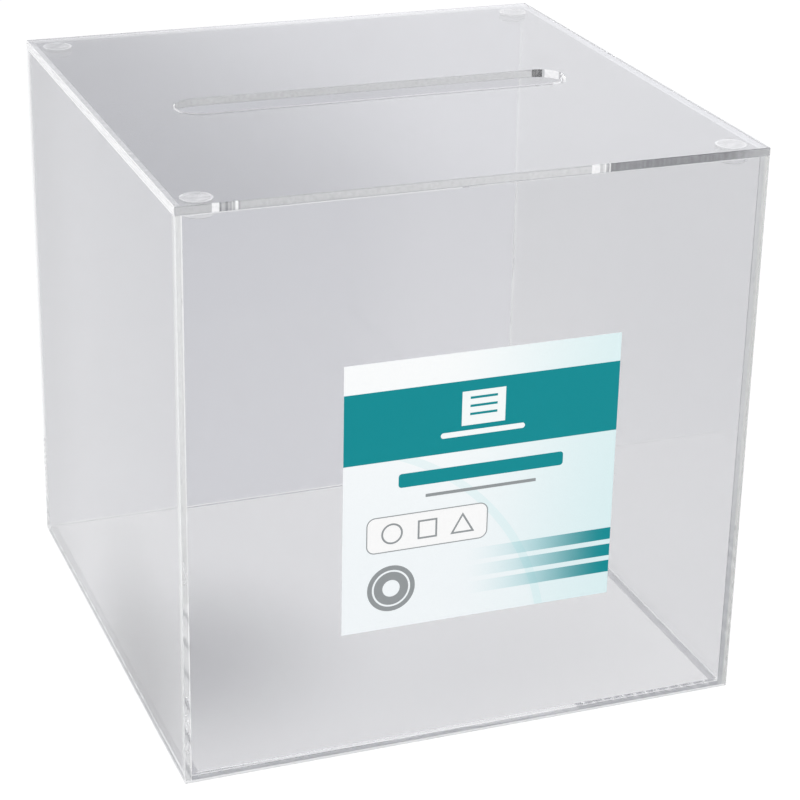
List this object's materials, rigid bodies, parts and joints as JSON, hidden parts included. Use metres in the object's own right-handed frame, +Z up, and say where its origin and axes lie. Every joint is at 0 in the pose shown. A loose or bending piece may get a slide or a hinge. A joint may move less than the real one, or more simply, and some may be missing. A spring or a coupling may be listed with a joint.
{
  "type": "ballot box",
  "caption": "Clear acrylic cube ballot box glued from flat sheets, with a loose lift-off lid that has a long, wide, round-ended posting slot, and a square paper label on the front.",
  "frame": {"origin": "centre of the case's footprint, on the surface it stands on", "axes": "+Z up, +X to the right when facing the labelled front, -Y out of the labelled front"},
  "size_m": [0.21, 0.2101, 0.21],
  "materials": {
    "clear_acrylic": "polished",
    "clear_lid": "polished",
    "clear_disc": "polished",
    "label_paper": "gloss"
  },
  "bodies": {
    "case": {"base_panel": "clear_acrylic", "front_panel": "clear_acrylic", "back_panel": "clear_acrylic", "left_panel": "clear_acrylic", "right_panel": "clear_acrylic", "label": "label_paper"},
    "lid": {"lid_panel": "clear_lid", "disc_front_left": "clear_disc", "disc_front_right": "clear_disc", "disc_back_left": "clear_disc", "disc_back_right": "clear_disc"}
  },
  "joints": [
    {"name": "lid_lift", "type": "slide", "parent": "case", "child": "lid", "axis": [0, 0, 1], "range_m": [0, 0.15]}
  ]
}
